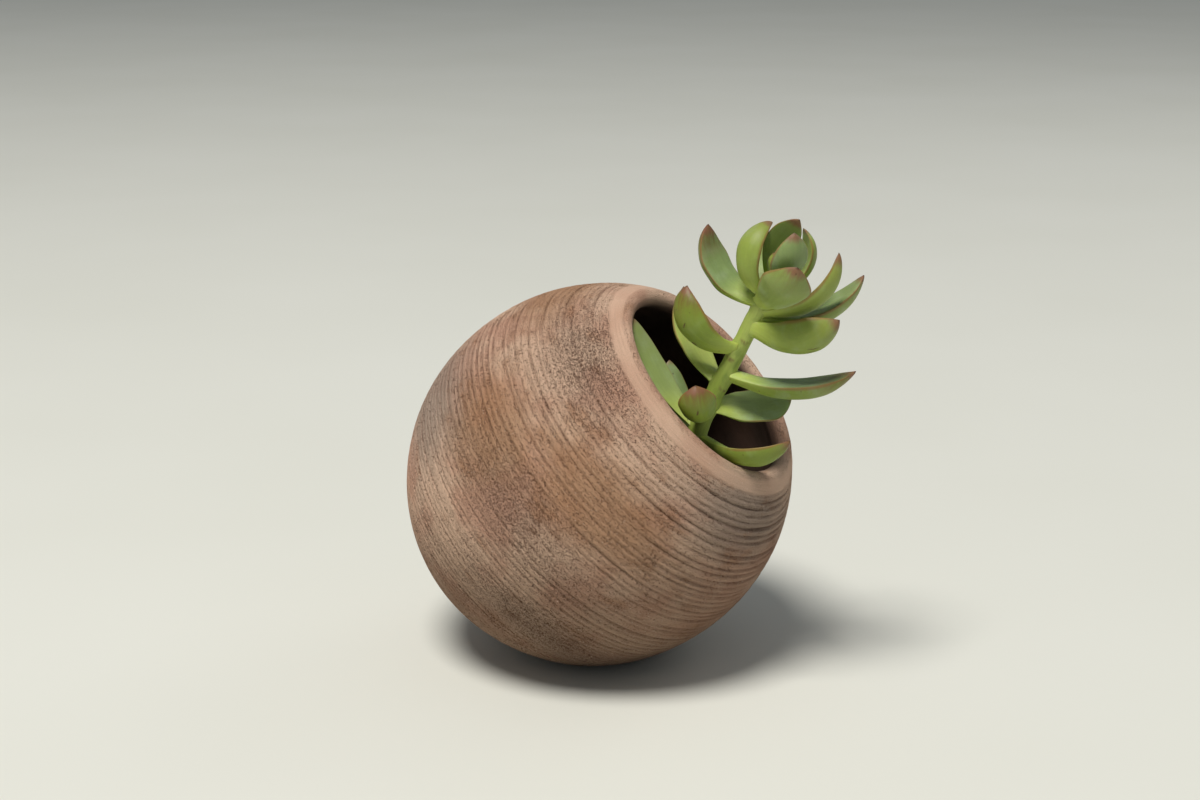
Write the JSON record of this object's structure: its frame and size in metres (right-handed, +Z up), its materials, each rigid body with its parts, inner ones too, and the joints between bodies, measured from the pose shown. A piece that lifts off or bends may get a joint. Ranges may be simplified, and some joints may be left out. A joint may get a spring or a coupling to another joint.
{
  "type": "potted succulent plant",
  "caption": "Thick-leaved succulent on a bare green stem, growing from a hollow unglazed clay ball pot that lies tipped with its round mouth facing up and sideways.",
  "frame": {"origin": "middle of the small flat on the underside of the pot, on which it rests", "axes": "+Z up; +X the level direction that the pot leans and its mouth faces towards; +Y to the left when looking along +X"},
  "size_m": [0.1194, 0.098, 0.1215],
  "materials": {
    "clay": "unglazed gritty terracotta, ribbed by turning, with torn pits and a smooth band round the mouth",
    "earth": "dark crumbly potting soil with mineral grit",
    "stalk": "smooth green succulent stem, satin, with small leaf scars",
    "foliage": "thick waxy succulent leaf, satin, blue-green to yellow-green with reddish brown tips"
  },
  "bodies": {
    "root": {"pot": "clay", "soil": "earth", "stem": "stalk", "leaf_inside_mouth": "foliage", "leaf_left_low": "foliage", "leaf_over_lip": "foliage", "leaf_right_back": "foliage", "leaf_front_small": "foliage", "leaf_left_back": "foliage", "leaf_right_long": "foliage", "leaf_left_front": "foliage", "leaf_right_broad": "foliage", "leaf_right_upper": "foliage", "leaf_right_slim": "foliage", "leaf_left_high": "foliage", "leaf_crown_front": "foliage", "leaf_crown_back": "foliage", "leaf_bud_left": "foliage", "leaf_bud_back": "foliage", "leaf_bud_right": "foliage", "leaf_bud_front": "foliage", "leaf_bud_heart": "foliage"}
  },
  "joints": []
}
